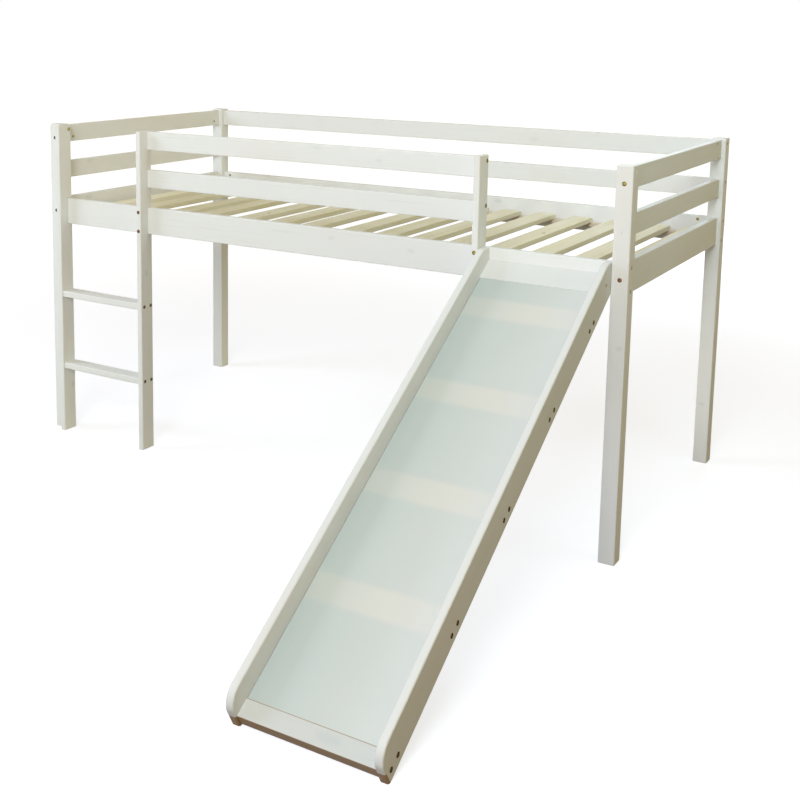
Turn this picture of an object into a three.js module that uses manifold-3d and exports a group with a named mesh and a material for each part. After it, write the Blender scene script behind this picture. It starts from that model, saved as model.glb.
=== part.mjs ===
import * as THREE from "three";
import { mergeVertices } from "three/addons/utils/BufferGeometryUtils.js";
import Module from "manifold-3d";

// A mid sleeper bed in white-washed pine, with a ladder and a slide on its front side.
// Millimetres, +Z up, X along the bed, front towards -Y.
// Pieces are placed from the left end, the front faces of the posts and the floor.

// Bed frame
const bedLength = 2080;
const bedWidth = 990;
const postHeight = 1100;
const postSize = 47;
const postRounding = 3;
const postEndChamfer = 2;
const railThickness = 20;
const mainRailHeight = 90;
const slimRailHeight = 60;
const railGap = 67.5;
const topRailDrop = 5;

// Every board has eased edges, and boards that meet keep a hair of clearance.
const edgeEase = 2;
const fitGap = 0.3;

// Bed base
const slatCount = 15;
const slatWidth = 68;
const slatThickness = 17;
const slatEndGap = 11.5;
const slatRecess = 40.5;
const slatLeftInset = 69.5;
const slatRightInset = 48;
const ledgerDepth = 20;
const ledgerHeight = 14.5;

// The slats are laid by hand, so each one lies this share of the pitch off its even place.
const slatShiftShares = [0, 0, 0.18, 0.02, 0.22, 0.22, 0.15, 0.3, 0.24, 0.18, 0.12, 0.13, 0.13, 0.12, 0];

// Ladder and guard
const uprightThickness = 19;
const uprightDepth = 58.5;
const stileDrop = 3;
const ladderOpening = 345.5;
const rungCount = 2;
const rungPitch = 261;
const lowestRungTop = 252;
const rungThickness = 22;
const rungSetback = 4;
const rungNoseRadius = 3.5;

// Slide
const slideAngle = THREE.MathUtils.degToRad(32.6);
const slideSeatRise = 11;
const slideInnerWidth = 336;
const sideThickness = 20;
const sideWidth = 87;
const sideBullnose = 4;
const noseRadius = 50;
const toeRise = 46;
const toeRun = 25;
const toeRadius = 35;
const footFlat = 8;
const blockHeight = 35;
const lipLength = 54;
const lipLift = 3.5;
const headerLength = 58;
const rebateLength = 12;
const panelThickness = 4;
const panelEase = 1;
const supportCount = 4;
const supportWidth = 72;
const supportThickness = 18;
const lipRowOffset = 32;
const topSupportInset = 124.5;

// Fastener holes: bolt heads lie in counterbores, and each bolt pulls on a barrel nut.
const boltHoleRadius = 5.5;
const boltHoleDepth = 5;
const pilotRadius = 1.5;
const nutHoleRadius = 5;
const nutHoleDepth = 13;
const nutInset = 33;
const screwHoleRadius = 5;
const screwHoleDepth = 4;
const endBoltRise = 17;
const sideBoltRise = 48;
const mainBoltSpacing = 64;
const rungBoltSpacing = 33;
const sideScrewSpacing = 32;
const slideNutDepth = 46;
const slideNutDrop = 56;
const holeSides = 12;

// Cutting solids reach this far past what they cut.
const cutOverrun = 10;

// Arcs
const easeSteps = 2;
const bullnoseSteps = 3;
const roundSteps = 10;
const filletRoomShare = 0.98;

// Rail levels and faces, worked out from the sizes above
const topRailTop = postHeight - topRailDrop;
const middleRailTop = topRailTop - slimRailHeight - railGap;
const mainRailTop = middleRailTop - slimRailHeight - railGap;
const mainRailBottom = mainRailTop - mainRailHeight;
const mainRailMiddle = mainRailTop - mainRailHeight / 2;
const mainBoltLevels = [mainRailMiddle - mainBoltSpacing / 2, mainRailMiddle + mainBoltSpacing / 2];
const railInset = (postSize - railThickness) / 2;
const railBackFace = railInset + railThickness;
const betweenPostsX = [postSize + fitGap, bedLength - postSize - fitGap];
const betweenPostsY = [postSize + fitGap, bedWidth - postSize - fitGap];
const frontRailY = [railInset, railBackFace];
const backRailY = [bedWidth - railBackFace, bedWidth - railInset];
const leftRailX = [railInset, railBackFace];
const rightRailX = [bedLength - railBackFace, bedLength - railInset];
const railLevels = [
  { level: "top", z: [topRailTop - slimRailHeight, topRailTop] },
  { level: "middle", z: [middleRailTop - slimRailHeight, middleRailTop] },
  { level: "main", z: [mainRailBottom, mainRailTop] },
];

// Ladder, guard and slide places along the front
const leftStileX = stretch(postSize + fitGap, uprightThickness);
const rightStileX = stretch(leftStileX[1] + ladderOpening, uprightThickness);
const rightSideX = stretch(bedLength - postSize - fitGap - sideThickness, sideThickness);
const leftSideX = stretch(rightSideX[0] - slideInnerWidth - sideThickness, sideThickness);
const guardPostX = stretch(leftSideX[0] - fitGap - uprightThickness, uprightThickness);
const guardRailX = [rightStileX[1] + fitGap, guardPostX[0] - fitGap];
const uprightFrontFace = railBackFace - uprightDepth;

// The slide's underside rises from its heel on the floor to the front of the main rail.
const slideTop = mainRailBottom + slideSeatRise;
const slideHeelY = railInset - slideTop / Math.tan(slideAngle);
const slideFrontY = slideHeelY - footFlat - toeRun;

const axisFrames = {
  x: new THREE.Matrix4().makeBasis(unit("y"), unit("z"), unit("x")),
  y: new THREE.Matrix4().makeBasis(unit("z"), unit("x"), unit("y")),
  z: new THREE.Matrix4().makeBasis(unit("x"), unit("y"), unit("z")),
};
const sectionAxes = { x: ["y", "z"], y: ["z", "x"], z: ["x", "y"] };

function unit(axis) {
  const vector = new THREE.Vector3();
  vector[axis] = 1;
  return vector;
}

function stretch(start, size) {
  return [start, start + size];
}

// Materials
function paintedPine() {
  return new THREE.MeshStandardMaterial({ color: 0xe9e6df, roughness: 0.62, metalness: 0 });
}

function barePine() {
  return new THREE.MeshStandardMaterial({ color: 0xe8d7ac, roughness: 0.7, metalness: 0 });
}

function slideSheet() {
  return new THREE.MeshStandardMaterial({ color: 0xe4ecea, roughness: 0.25, metalness: 0 });
}

// Outlines with rounded corners
function corner(x, y, radius = 0, steps = easeSteps) {
  return { at: new THREE.Vector2(x, y), radius, steps };
}

function cornerArc(point, back, ahead, halfAngle, setback, steps) {
  const radius = setback * Math.tan(halfAngle);
  const start = point.clone().addScaledVector(back, setback);
  const inward = back.clone().add(ahead).normalize();
  const centre = point.clone().addScaledVector(inward, radius / Math.sin(halfAngle));
  const startAngle = start.sub(centre).angle();
  const turn = Math.PI - 2 * halfAngle;
  return Array.from({ length: steps + 1 }, (_, step) => {
    const angle = startAngle + (turn * step) / steps;
    return new THREE.Vector2(Math.cos(angle), Math.sin(angle)).multiplyScalar(radius).add(centre);
  });
}

// The corners run counter-clockwise, and a round too large for its edges shrinks to fit them.
function roundedShape(corners) {
  const next = (index) => (index + 1) % corners.length;
  const edges = corners.map(({ at }, index) => corners[next(index)].at.clone().sub(at));
  const backs = edges.map((_, index) => edges.at(index - 1).clone().negate().normalize());
  const halfAngles = edges.map((edge, index) => edge.angleTo(backs[index]) / 2);
  const wanted = corners.map(({ radius }, index) => radius / Math.tan(halfAngles[index]));
  const fits = edges.map((edge, index) => {
    const taken = wanted[index] + wanted[next(index)];
    return Math.min(1, (edge.length() * filletRoomShare) / taken);
  });
  const points = corners.flatMap(({ at, radius, steps }, index) => {
    if (radius === 0) return [at];
    const setback = wanted[index] * Math.min(fits[index], fits.at(index - 1));
    const ahead = edges[index].clone().normalize();
    return cornerArc(at, backs[index], ahead, halfAngles[index], setback, steps);
  });
  return new THREE.Shape(points);
}

function rectangle(width, height, radius) {
  return roundedShape([
    corner(0, 0, radius),
    corner(width, 0, radius),
    corner(width, height, radius),
    corner(0, height, radius),
  ]);
}

// The shape is pulled along one axis, and a bevel eases the edges of both its ends.
function extrude(shape, axis, length, bevel = 0, bevelSegments = 1) {
  const geometry = new THREE.ExtrudeGeometry(shape, {
    depth: length - 2 * bevel,
    bevelEnabled: bevel > 0,
    bevelThickness: bevel,
    bevelSize: bevel,
    bevelOffset: -bevel,
    bevelSegments,
    steps: 1,
  });
  geometry.translate(0, 0, bevel);
  geometry.applyMatrix4(axisFrames[axis]);
  return geometry;
}

function named(name, geometry, material) {
  const mesh = new THREE.Mesh(geometry, material);
  mesh.name = name;
  return mesh;
}

// A board fills the ranges x, y and z, with its long edges rounded along the grain.
function board(name, material, grain, { x, y, z }, rounding = edgeEase, endChamfer = 0) {
  const ranges = { x, y, z };
  const size = (axis) => ranges[axis][1] - ranges[axis][0];
  const [first, second] = sectionAxes[grain];
  const section = rectangle(size(first), size(second), rounding);
  const mesh = named(name, extrude(section, grain, size(grain), endChamfer), material);
  mesh.position.set(x[0], y[0], z[0]);
  return mesh;
}

// A profile piece has its outline in the plane of Y and Z, and its thickness along X.
function profilePiece(name, material, corners, x, bevel = 0) {
  const geometry = extrude(roundedShape(corners), "x", x[1] - x[0], bevel);
  const mesh = named(name, geometry, material);
  mesh.position.x = x[0];
  return mesh;
}

// Boolean cuts
const wasm = await Module();
wasm.setup();

function toSolid(geometry) {
  const plain = geometry.clone();
  plain.deleteAttribute("normal");
  plain.deleteAttribute("uv");
  const merged = mergeVertices(plain);
  return new wasm.Manifold(
    new wasm.Mesh({
      numProp: 3,
      vertProperties: new Float32Array(merged.attributes.position.array),
      triVerts: new Uint32Array(merged.index.array),
    }),
  );
}

function toGeometry(solid) {
  const { vertProperties, triVerts } = solid.getMesh();
  const geometry = new THREE.BufferGeometry();
  geometry.setAttribute("position", new THREE.BufferAttribute(vertProperties, 3));
  geometry.setIndex(new THREE.BufferAttribute(triVerts, 1));
  geometry.computeVertexNormals();
  return geometry;
}

function cut(geometry, ...cutters) {
  const solid = cutters.reduce((rest, cutter) => rest.subtract(toSolid(cutter)), toSolid(geometry));
  return toGeometry(solid);
}

// A round hole is centred on the face that it opens in, and runs along X or Y.
function hole(axis, radius, depth, x, y, z) {
  const cutter = new THREE.CylinderGeometry(radius, radius, depth * 2, holeSides);
  if (axis === "x") cutter.rotateZ(Math.PI / 2);
  return cutter.translate(x, y, z);
}

const boltHole = (axis, x, y, z) => hole(axis, boltHoleRadius, boltHoleDepth, x, y, z);
const nutHole = (axis, x, y, z) => hole(axis, nutHoleRadius, nutHoleDepth, x, y, z);
const screwHole = (x, y, z) => hole("x", screwHoleRadius, screwHoleDepth, x, y, z);

function drilled(mesh, holes) {
  const { x, y, z } = mesh.position;
  mesh.geometry = cut(mesh.geometry, ...holes.map((cutter) => cutter.translate(-x, -y, -z)));
  return mesh;
}

// Posts: the end rails are bolted on through the front and back faces, the long rails through
// the outer sides.
const slimRails = railLevels.filter(({ level }) => level !== "main");

function postHoles(outerX, outerY, middleX, middleY) {
  const topRailBottom = topRailTop - slimRailHeight;
  const middleRailBottom = middleRailTop - slimRailHeight;
  const sideLevels = [...slimRails.map(({ z }) => z[0] + sideBoltRise), ...mainBoltLevels];
  return [
    boltHole("y", middleX, outerY, topRailBottom + endBoltRise),
    hole("y", pilotRadius, screwHoleDepth, middleX, outerY, middleRailBottom + endBoltRise),
    boltHole("y", middleX, outerY, mainRailMiddle),
    ...sideLevels.map((level) => boltHole("x", outerX, middleY, level)),
  ];
}

function makePost(row, column) {
  const x = column === "left" ? stretch(0, postSize) : stretch(bedLength - postSize, postSize);
  const y = row === "front" ? stretch(0, postSize) : stretch(bedWidth - postSize, postSize);
  const ranges = { x, y, z: [0, postHeight] };
  const name = `post_${row}_${column}`;
  const post = board(name, paintedPine(), "z", ranges, postRounding, postEndChamfer);
  const outerX = column === "left" ? 0 : bedLength;
  const outerY = row === "front" ? 0 : bedWidth;
  return drilled(post, postHoles(outerX, outerY, x[0] + postSize / 2, y[0] + postSize / 2));
}

function makePosts() {
  return ["front", "back"].flatMap((row) => ["left", "right"].map((column) => makePost(row, column)));
}

// Rails between the posts: barrel nuts sit in holes in their inner faces.
function makeEndRail(side, x, { level, z }) {
  const rail = board(`rail_${side}_${level}`, paintedPine(), "y", { x, y: betweenPostsY, z });
  if (level === "middle") return rail;
  const innerX = side === "left" ? x[1] : x[0];
  const nutLevel = level === "main" ? mainRailMiddle : z[0] + endBoltRise;
  const nutPlaces = [postSize + nutInset, bedWidth - postSize - nutInset];
  return drilled(rail, nutPlaces.map((y) => nutHole("x", innerX, y, nutLevel)));
}

function makeEndRails(side, x) {
  return railLevels.map((rail) => makeEndRail(side, x, rail));
}

function makeLongMainRail(name, y, innerY) {
  const z = [mainRailBottom, mainRailTop];
  const rail = board(name, paintedPine(), "x", { x: betweenPostsX, y, z });
  const nutPlaces = [postSize + nutInset, bedLength - postSize - nutInset];
  const holes = nutPlaces.flatMap((x) => mainBoltLevels.map((level) => nutHole("y", x, innerY, level)));
  return drilled(rail, holes);
}

function makeBackRails() {
  const slim = slimRails.map(({ level, z }) =>
    board(`rail_back_${level}`, paintedPine(), "x", { x: betweenPostsX, y: backRailY, z }),
  );
  return [...slim, makeLongMainRail("rail_back_main", backRailY, backRailY[0])];
}

function makeGuardRails() {
  return slimRails.map(({ level, z }) =>
    board(`guard_rail_${level}`, paintedPine(), "x", { x: guardRailX, y: frontRailY, z }),
  );
}

// Uprights: bolts through their front edges hold them to the main rail, and bolts through one
// side hold the guard rails.
function uprightHoles(x, sideX) {
  const middleX = (x[0] + x[1]) / 2;
  const railMiddleY = (frontRailY[0] + frontRailY[1]) / 2;
  const sideLevels = slimRails.map(({ z }) => z[0] + sideBoltRise);
  return [
    ...mainBoltLevels.map((level) => boltHole("y", middleX, uprightFrontFace, level)),
    ...sideLevels.map((level) => boltHole("x", sideX, railMiddleY, level)),
  ];
}

// The guard post stands in front of the main rail and laps over its top edge.
function makeGuardPost() {
  const lapFace = railInset - fitGap;
  const lapLevel = mainRailTop + fitGap;
  const outline = [
    corner(uprightFrontFace, mainRailBottom),
    corner(lapFace, mainRailBottom),
    corner(lapFace, lapLevel),
    corner(railBackFace, lapLevel),
    corner(railBackFace, postHeight),
    corner(uprightFrontFace, postHeight),
  ];
  const post = profilePiece("guard_post", paintedPine(), outline, guardPostX, edgeEase);
  return drilled(post, uprightHoles(guardPostX, guardPostX[1]));
}

// Ladder: each stile is notched at its back, and the main rail passes through the notch.
const rungTops = Array.from({ length: rungCount }, (_, index) => lowestRungTop + rungPitch * index);

function makeStile(side, x) {
  const notchFace = railInset - fitGap;
  const notchBottom = mainRailBottom - fitGap;
  const notchTop = mainRailTop + fitGap;
  const stileTop = postHeight - stileDrop;
  const outline = [
    corner(uprightFrontFace, 0),
    corner(railBackFace, 0),
    corner(railBackFace, notchBottom),
    corner(notchFace, notchBottom),
    corner(notchFace, notchTop),
    corner(railBackFace, notchTop),
    corner(railBackFace, stileTop),
    corner(uprightFrontFace, stileTop),
  ];
  return profilePiece(`ladder_stile_${side}`, paintedPine(), outline, x, edgeEase);
}

// Two bolts run into each end of each rung, through the stile's outer side.
function rungBoltHoles(outerX) {
  const middleY = (uprightFrontFace + rungSetback + railBackFace) / 2;
  const places = [middleY - rungBoltSpacing / 2, middleY + rungBoltSpacing / 2];
  return rungTops.flatMap((top) => {
    const level = top - rungThickness / 2;
    return places.map((y) => boltHole("x", outerX, y, level));
  });
}

function makeStiles() {
  const railMiddleY = (frontRailY[0] + frontRailY[1]) / 2;
  const topBoltLevel = topRailTop - slimRailHeight + sideBoltRise;
  const left = drilled(makeStile("left", leftStileX), [
    boltHole("x", leftStileX[1], railMiddleY, topBoltLevel),
    ...rungBoltHoles(leftStileX[0]),
  ]);
  const right = drilled(makeStile("right", rightStileX), [
    ...uprightHoles(rightStileX, rightStileX[0]),
    ...rungBoltHoles(rightStileX[1]),
  ]);
  return [left, right];
}

function makeRung(top, index) {
  const bottom = top - rungThickness;
  const front = uprightFrontFace + rungSetback;
  const outline = [
    corner(front, bottom, rungNoseRadius, roundSteps),
    corner(railBackFace, bottom, edgeEase),
    corner(railBackFace, top, edgeEase),
    corner(front, top, rungNoseRadius, roundSteps),
  ];
  const x = [leftStileX[1] + fitGap, rightStileX[0] - fitGap];
  return profilePiece(`ladder_rung_${index + 1}`, paintedPine(), outline, x);
}

function makeLadder() {
  return [...makeStiles(), ...rungTops.map(makeRung)];
}

// Bed base: two ledgers inside the main rails carry the slats.
const slatTop = mainRailTop - slatRecess;
const slatBottom = slatTop - slatThickness;
const slatEnds = [frontRailY[1] + slatEndGap, backRailY[0] - slatEndGap];
const ledgerTop = slatBottom - fitGap;

function makeLedger(side, y) {
  const z = [ledgerTop - ledgerHeight, ledgerTop];
  return board(`ledger_${side}`, paintedPine(), "x", { x: betweenPostsX, y, z });
}

function makeLedgers() {
  return [
    makeLedger("front", stretch(frontRailY[1] + fitGap, ledgerDepth)),
    makeLedger("back", stretch(backRailY[0] - fitGap - ledgerDepth, ledgerDepth)),
  ];
}

function makeSlat(index) {
  const firstCentre = leftRailX[1] + slatLeftInset;
  const lastCentre = rightRailX[0] - slatRightInset;
  const pitch = (lastCentre - firstCentre) / (slatCount - 1);
  const shift = slatShiftShares[index % slatShiftShares.length];
  const centre = firstCentre + pitch * (index + shift);
  const ranges = {
    x: stretch(centre - slatWidth / 2, slatWidth),
    y: slatEnds,
    z: [slatBottom, slatTop],
  };
  const number = String(index + 1).padStart(2, "0");
  return board(`slat_${number}`, barePine(), "y", ranges);
}

function makeSlats() {
  return Array.from({ length: slatCount }, (_, index) => makeSlat(index));
}

// Outline of a slide side: a sloping board with a rounded nose, level with the main rail's top.
// It runs on past the rail, the floor and its own lower edge, where it is trimmed square.
function slideSideOutline() {
  const slope = Math.tan(slideAngle);
  const topEdgeLift = sideWidth / Math.cos(slideAngle);
  const topEdgeAt = (y) => (y - slideHeelY) * slope + topEdgeLift;
  const levelStartY = slideHeelY + (mainRailTop - topEdgeLift) / slope;
  const pastRailFace = railInset + cutOverrun;
  return roundedShape([
    corner(slideFrontY + toeRun * (1 + cutOverrun / toeRise), -cutOverrun),
    corner(slideHeelY + sideWidth / 2, -cutOverrun),
    corner(pastRailFace, (pastRailFace - slideHeelY) * slope - cutOverrun),
    corner(pastRailFace, mainRailTop),
    corner(levelStartY, mainRailTop, sideWidth / 2, roundSteps),
    corner(slideFrontY, topEdgeAt(slideFrontY), noseRadius, roundSteps),
    corner(slideFrontY, toeRise, toeRadius, roundSteps),
  ]);
}

// Cuts that trim a slide side upright at the main rail, level on the floor and square below
function slideSideTrims() {
  const railSpace = new THREE.BoxGeometry(sideThickness * 2, cutOverrun * 2, postHeight);
  railSpace.translate(sideThickness / 2, railInset - fitGap + cutOverrun, postHeight / 2);
  const floorSpace = new THREE.BoxGeometry(sideThickness * 2, bedLength, cutOverrun * 2);
  floorSpace.translate(sideThickness / 2, slideHeelY, -cutOverrun);
  const underSpace = new THREE.BoxGeometry(sideThickness * 2, bedLength * 2, sideWidth);
  underSpace.translate(0, 0, -sideWidth / 2);
  underSpace.rotateX(slideAngle);
  underSpace.translate(sideThickness / 2, slideHeelY, 0);
  return [railSpace, floorSpace, underSpace];
}

function makeSlideSide(side, x, outerX) {
  const board = extrude(slideSideOutline(), "x", sideThickness, sideBullnose, bullnoseSteps);
  const boardShape = cut(board, ...slideSideTrims());
  const mesh = named(`slide_side_${side}`, boardShape, paintedPine());
  mesh.position.x = x[0];
  return drilled(mesh, slideSideHoles(outerX));
}

// Two screws run into the end of the lip and of each support, and a barrel nut takes the bolt
// that comes through the main rail.
function slideSideHoles(outerX) {
  const rows = [lipRowOffset, ...supportCentres];
  const screwHeight = rebateFloor - supportThickness / 2;
  const places = rows.flatMap((row) => [row - sideScrewSpacing / 2, row + sideScrewSpacing / 2]);
  const screws = places.map((along) => {
    const y = slideHeelY + along * Math.cos(slideAngle) - screwHeight * Math.sin(slideAngle);
    const z = along * Math.sin(slideAngle) + screwHeight * Math.cos(slideAngle);
    return screwHole(outerX, y, z);
  });
  return [...screws, nutHole("x", outerX, railInset - slideNutDepth, mainRailTop - slideNutDrop)];
}

// Slide bed: it is laid out along the slope, from the heel up, with Z square to the slope.
const slopeX = [leftSideX[1] + fitGap, rightSideX[0] - fitGap];
const panelBottom = blockHeight - panelThickness;
const rebateFloor = panelBottom - fitGap;

// The upright face of the main rail, as it leans in the slope's own frame
function railFaceAt(height) {
  const along = (railInset - fitGap - slideHeelY) / Math.cos(slideAngle);
  return along + height * Math.tan(slideAngle);
}

const headerStart = railFaceAt(blockHeight) - headerLength;

// The cross supports are spread evenly, from the lip's screw row up to just below the header.
const supportPitch = (headerStart - topSupportInset - lipRowOffset) / supportCount;
const supportCentres = Array.from(
  { length: supportCount },
  (_, index) => lipRowOffset + supportPitch * (index + 1),
);

function makeLip() {
  const outline = [
    corner(0, lipLift, edgeEase),
    corner(lipLength, lipLift, edgeEase),
    corner(lipLength, rebateFloor),
    corner(lipLength - rebateLength, rebateFloor),
    corner(lipLength - rebateLength, blockHeight),
    corner(0, blockHeight, edgeEase),
  ];
  return profilePiece("slide_lip", paintedPine(), outline, slopeX);
}

function makeHeader() {
  const outline = [
    corner(headerStart, 0, edgeEase),
    corner(railFaceAt(0), 0),
    corner(railFaceAt(blockHeight), blockHeight),
    corner(headerStart + rebateLength, blockHeight),
    corner(headerStart + rebateLength, rebateFloor),
    corner(headerStart, rebateFloor),
  ];
  return profilePiece("slide_header", paintedPine(), outline, slopeX);
}

function makeSupport(centre, index) {
  const ranges = {
    x: slopeX,
    y: stretch(centre - supportWidth / 2, supportWidth),
    z: [rebateFloor - supportThickness, rebateFloor],
  };
  return board(`slide_support_${index + 1}`, paintedPine(), "x", ranges);
}

function makePanel() {
  const ranges = {
    x: slopeX,
    y: [lipLength - rebateLength + fitGap, headerStart + rebateLength - fitGap],
    z: [panelBottom, blockHeight],
  };
  return board("slide_panel", slideSheet(), "y", ranges, panelEase);
}

function makeSlide() {
  const slopedBed = new THREE.Group();
  slopedBed.position.y = slideHeelY;
  slopedBed.rotation.x = slideAngle;
  slopedBed.add(makeLip(), makeHeader(), ...supportCentres.map(makeSupport), makePanel());

  const slide = new THREE.Group();
  slide.add(
    makeSlideSide("left", leftSideX, leftSideX[0]),
    makeSlideSide("right", rightSideX, rightSideX[1]),
    slopedBed,
  );
  return slide;
}

// The whole bed, with its origin on the floor under the middle of its outer size
const group = new THREE.Group();
group.add(
  ...makePosts(),
  ...makeEndRails("left", leftRailX),
  ...makeEndRails("right", rightRailX),
  ...makeBackRails(),
  makeLongMainRail("rail_front_main", frontRailY, frontRailY[1]),
  ...makeGuardRails(),
  makeGuardPost(),
  ...makeLadder(),
  ...makeLedgers(),
  ...makeSlats(),
  makeSlide(),
);
group.position.set(-bedLength / 2, -(bedWidth + slideFrontY) / 2, 0);

export default group;
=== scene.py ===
import math

import bpy
from mathutils import Matrix, Vector


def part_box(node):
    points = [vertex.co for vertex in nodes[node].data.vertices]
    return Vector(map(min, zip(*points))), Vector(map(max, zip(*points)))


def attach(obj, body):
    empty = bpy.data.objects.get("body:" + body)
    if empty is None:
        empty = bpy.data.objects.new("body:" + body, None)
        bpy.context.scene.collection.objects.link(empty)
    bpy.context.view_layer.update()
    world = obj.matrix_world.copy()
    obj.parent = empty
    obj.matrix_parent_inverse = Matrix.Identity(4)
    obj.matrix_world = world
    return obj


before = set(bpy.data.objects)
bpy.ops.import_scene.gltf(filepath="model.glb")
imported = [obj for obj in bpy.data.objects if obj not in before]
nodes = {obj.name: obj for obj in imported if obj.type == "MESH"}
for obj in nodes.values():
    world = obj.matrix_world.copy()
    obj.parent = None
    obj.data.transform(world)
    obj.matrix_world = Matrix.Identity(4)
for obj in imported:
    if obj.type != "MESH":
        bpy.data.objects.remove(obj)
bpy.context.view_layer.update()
print("frame loaded,", len(nodes), "boards and panels")

# Everything below is in metres. The bed stands on the floor, its long side along X.

photoCamera = {
    "place": (2.0179, -2.9905, 1.4658),
    "turnedLeft": math.radians(32.71),
    "lookingDown": math.radians(8.71),
    "roll": math.radians(0.54),
    "lens": 54.76,
    "sensorWidth": 36,
    "shift": (0.1187, -0.2413),
    "seesTo": 100,
}


def deselectAll():
    if bpy.context.mode != "OBJECT":
        bpy.ops.object.mode_set(mode="OBJECT")
    bpy.ops.object.select_all(action="DESELECT")


def addCamera(settings):
    deselectAll()
    bpy.ops.object.camera_add()
    camera = bpy.context.object
    camera.name = "photoCamera"
    camera.matrix_world = (
        Matrix.Translation(settings["place"])
        @ Matrix.Rotation(settings["turnedLeft"], 4, "Z")
        @ Matrix.Rotation(math.pi / 2 - settings["lookingDown"], 4, "X")
        @ Matrix.Rotation(settings["roll"], 4, "Z")
    )
    camera.data.lens = settings["lens"]
    camera.data.sensor_width = settings["sensorWidth"]
    camera.data.shift_x, camera.data.shift_y = settings["shift"]
    camera.data.clip_end = settings["seesTo"]
    bpy.context.scene.camera = camera


addCamera(photoCamera)
print("camera stands at the photograph's angle")


# Node trees: small helpers for the procedural materials

def newMaterial(name):
    material = bpy.data.materials.new(name)
    material.use_nodes = True
    tree = material.node_tree
    tree.nodes.clear()
    output = tree.nodes.new("ShaderNodeOutputMaterial")
    shader = tree.nodes.new("ShaderNodeBsdfPrincipled")
    tree.links.new(shader.outputs["BSDF"], output.inputs["Surface"])
    return material, tree, shader


def objectPlace(tree, scale=(1, 1, 1), turn=(0, 0, 0), offset=(0, 0, 0)):
    coordinates = tree.nodes.new("ShaderNodeTexCoord")
    mapping = tree.nodes.new("ShaderNodeMapping")
    mapping.vector_type = "POINT"
    mapping.inputs["Location"].default_value = offset
    mapping.inputs["Rotation"].default_value = turn
    mapping.inputs["Scale"].default_value = scale
    tree.links.new(coordinates.outputs["Object"], mapping.inputs["Vector"])
    return mapping.outputs["Vector"]


def objectAxes(tree):
    split = tree.nodes.new("ShaderNodeSeparateXYZ")
    tree.links.new(objectPlace(tree), split.inputs["Vector"])
    return split.outputs


def noise(tree, vector, scale, detail=3.0, roughness=0.5, distortion=0.0):
    texture = tree.nodes.new("ShaderNodeTexNoise")
    texture.inputs["Scale"].default_value = scale
    texture.inputs["Detail"].default_value = detail
    texture.inputs["Roughness"].default_value = roughness
    texture.inputs["Distortion"].default_value = distortion
    tree.links.new(vector, texture.inputs["Vector"])
    return texture.outputs["Fac"]


def ramp(tree, value, low, high, start=0.0, end=1.0):
    scale = tree.nodes.new("ShaderNodeMapRange")
    scale.interpolation_type = "SMOOTHSTEP"
    scale.inputs["From Min"].default_value = low
    scale.inputs["From Max"].default_value = high
    scale.inputs["To Min"].default_value = start
    scale.inputs["To Max"].default_value = end
    tree.links.new(value, scale.inputs["Value"])
    return scale.outputs["Result"]


def mixColour(tree, factor, first, second):
    mix = tree.nodes.new("ShaderNodeMix")
    mix.data_type = "RGBA"
    tree.links.new(factor, mix.inputs["Factor"])
    for socket, colour in (("A", first), ("B", second)):
        target = [i for i in mix.inputs if i.name == socket and i.type == "RGBA"][0]
        if isinstance(colour, tuple):
            target.default_value = (*colour, 1)
        else:
            tree.links.new(colour, target)
    return [o for o in mix.outputs if o.type == "RGBA"][0]


def calculate(tree, operation, *values):
    node = tree.nodes.new("ShaderNodeMath")
    node.operation = operation
    for socket, value in zip(node.inputs, values):
        if isinstance(value, (int, float)):
            socket.default_value = value
        else:
            tree.links.new(value, socket)
    return node.outputs["Value"]


def bump(tree, shader, height, strength, distance):
    node = tree.nodes.new("ShaderNodeBump")
    node.inputs["Strength"].default_value = strength
    node.inputs["Distance"].default_value = distance
    tree.links.new(height, node.inputs["Height"])
    tree.links.new(node.outputs["Normal"], shader.inputs["Normal"])


# Wood: grain runs along one axis of the board, or up the slide's slope

slideTilt = math.radians(32.6)
grainTurns = {
    "x": (0, math.radians(90), 0),
    "y": (math.radians(90), 0, 0),
    "z": (0, 0, 0),
    "slope": (math.radians(90) - slideTilt, 0, 0),
}

whitewash = {
    "paint": (0.800, 0.806, 0.785),
    "thinPaint": (0.735, 0.730, 0.690),
    "warmPatch": (0.780, 0.745, 0.690),
    "warmShare": 0.55,
    "knot": (0.600, 0.640, 0.655),
    "roughness": (0.42, 0.60),
    "gloss": 0.12,
    "grainBump": 0.12,
    "grainDepth": 0.0006,
}

# The slide's boards and the ledgers are less white than the rest in the photograph. The ledgers' brown
# is painted shade, so the shade where the slats' ends lie on them looks brown.

lipPaint = {
    **whitewash,
    "paint": (0.600, 0.612, 0.585),
    "thinPaint": (0.560, 0.565, 0.530),
    "warmPatch": (0.595, 0.590, 0.555),
    "knot": (0.500, 0.540, 0.560),
    # painted shade: the lip's low end is coloured brown
    "endShade": (0.310, 0.192, 0.092),
}

slideSidePaint = {
    **whitewash,
    "paint": (0.715, 0.720, 0.700),
    "thinPaint": (0.655, 0.650, 0.615),
    "warmPatch": (0.695, 0.665, 0.615),
    # painted shade: the side boards' toes take the lip's brown
    "toe": lipPaint["endShade"],
}

headerPaint = {
    **whitewash,
    "paint": (0.690, 0.700, 0.685),
    "thinPaint": (0.650, 0.650, 0.620),
    "warmPatch": (0.680, 0.670, 0.640),
}

# painted shade: a brown ledger colour that browns the shade under the slats' ends
ledgerShadePaint = {
    **whitewash,
    "paint": (0.720, 0.620, 0.500),
    "thinPaint": (0.660, 0.520, 0.370),
    "warmPatch": (0.680, 0.540, 0.400),
}


# A wood's pattern has three layers. Stretch is a layer's scale across and along the grain, noise
# its detail, roughness and distortion, and shows the noise from which it starts and is full.

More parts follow.
